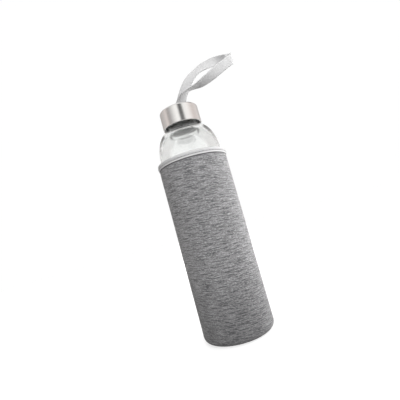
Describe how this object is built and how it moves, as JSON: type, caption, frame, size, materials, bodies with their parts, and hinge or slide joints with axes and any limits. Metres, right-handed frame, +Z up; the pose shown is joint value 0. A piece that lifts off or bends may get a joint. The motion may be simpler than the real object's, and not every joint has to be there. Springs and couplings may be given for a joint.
{
  "type": "water bottle",
  "caption": "Slim clear glass drinking bottle with a domed shoulder, brushed steel screw cap with a ribbon carry loop, and a snug heathered fabric sleeve.",
  "frame": {"origin": "centre of the sleeve's flat underside, on the surface the bottle stands on", "axes": "+Z up along the bottle's axis, +X towards the side the ribbon loop leans to, sleeve seam at +Y"},
  "size_m": [0.1054, 0.0734, 0.2794],
  "materials": {
    "glass": "clear polished glass",
    "sleeve_knit": "heathered grey jersey",
    "sleeve_foam": "closed-cell foam rubber",
    "sleeve_lining": "grey knit lining",
    "tape": "light grey ribbed binding tape",
    "thread": "grey sewing thread",
    "steel": "lathe-brushed stainless steel",
    "liner": "grey moulded plastic",
    "silicone": "milky silicone",
    "ribbon": "light grey woven ribbon"
  },
  "bodies": {
    "sleeve": {"sleeve_base": "sleeve_knit", "sleeve_lining": "sleeve_lining", "sleeve_foam": "sleeve_foam", "sleeve_face": "sleeve_knit", "side_seam_thread": "thread", "base_seam_thread": "thread", "binding_tape": "tape", "binding_thread": "thread"},
    "bottle": {"glass_bottle": "glass"},
    "seal": {"seal_ring": "silicone"},
    "cap": {"cap_liner": "liner", "cap_shell": "steel", "ribbon_tails": "ribbon"},
    "ribbon": {"ribbon_loop": "ribbon"}
  },
  "joints": [
    {"name": "sleeve_slide", "type": "slide", "parent": "sleeve", "child": "bottle", "axis": [0, 0, 1], "range_m": [0, 0.18]},
    {"name": "cap_rise", "type": "slide", "parent": "bottle", "child": "seal", "axis": [0, 0, 1], "range_m": [0, 0.0148]},
    {"name": "cap_turn", "type": "hinge", "parent": "seal", "child": "cap", "pos_m": [0, 0, 0.23], "axis": [0, 0, 1], "range_deg": [0, 1260]},
    {"name": "ribbon_flop", "type": "hinge", "parent": "cap", "child": "ribbon", "pos_m": [0.001, 0, 0.2373], "axis": [1, 0, 0], "range_deg": [-70, 50]}
  ],
  "couplings": [
    {"joint": "cap_rise", "follows": "cap_turn", "m_per_rad": 0.00066845}
  ]
}
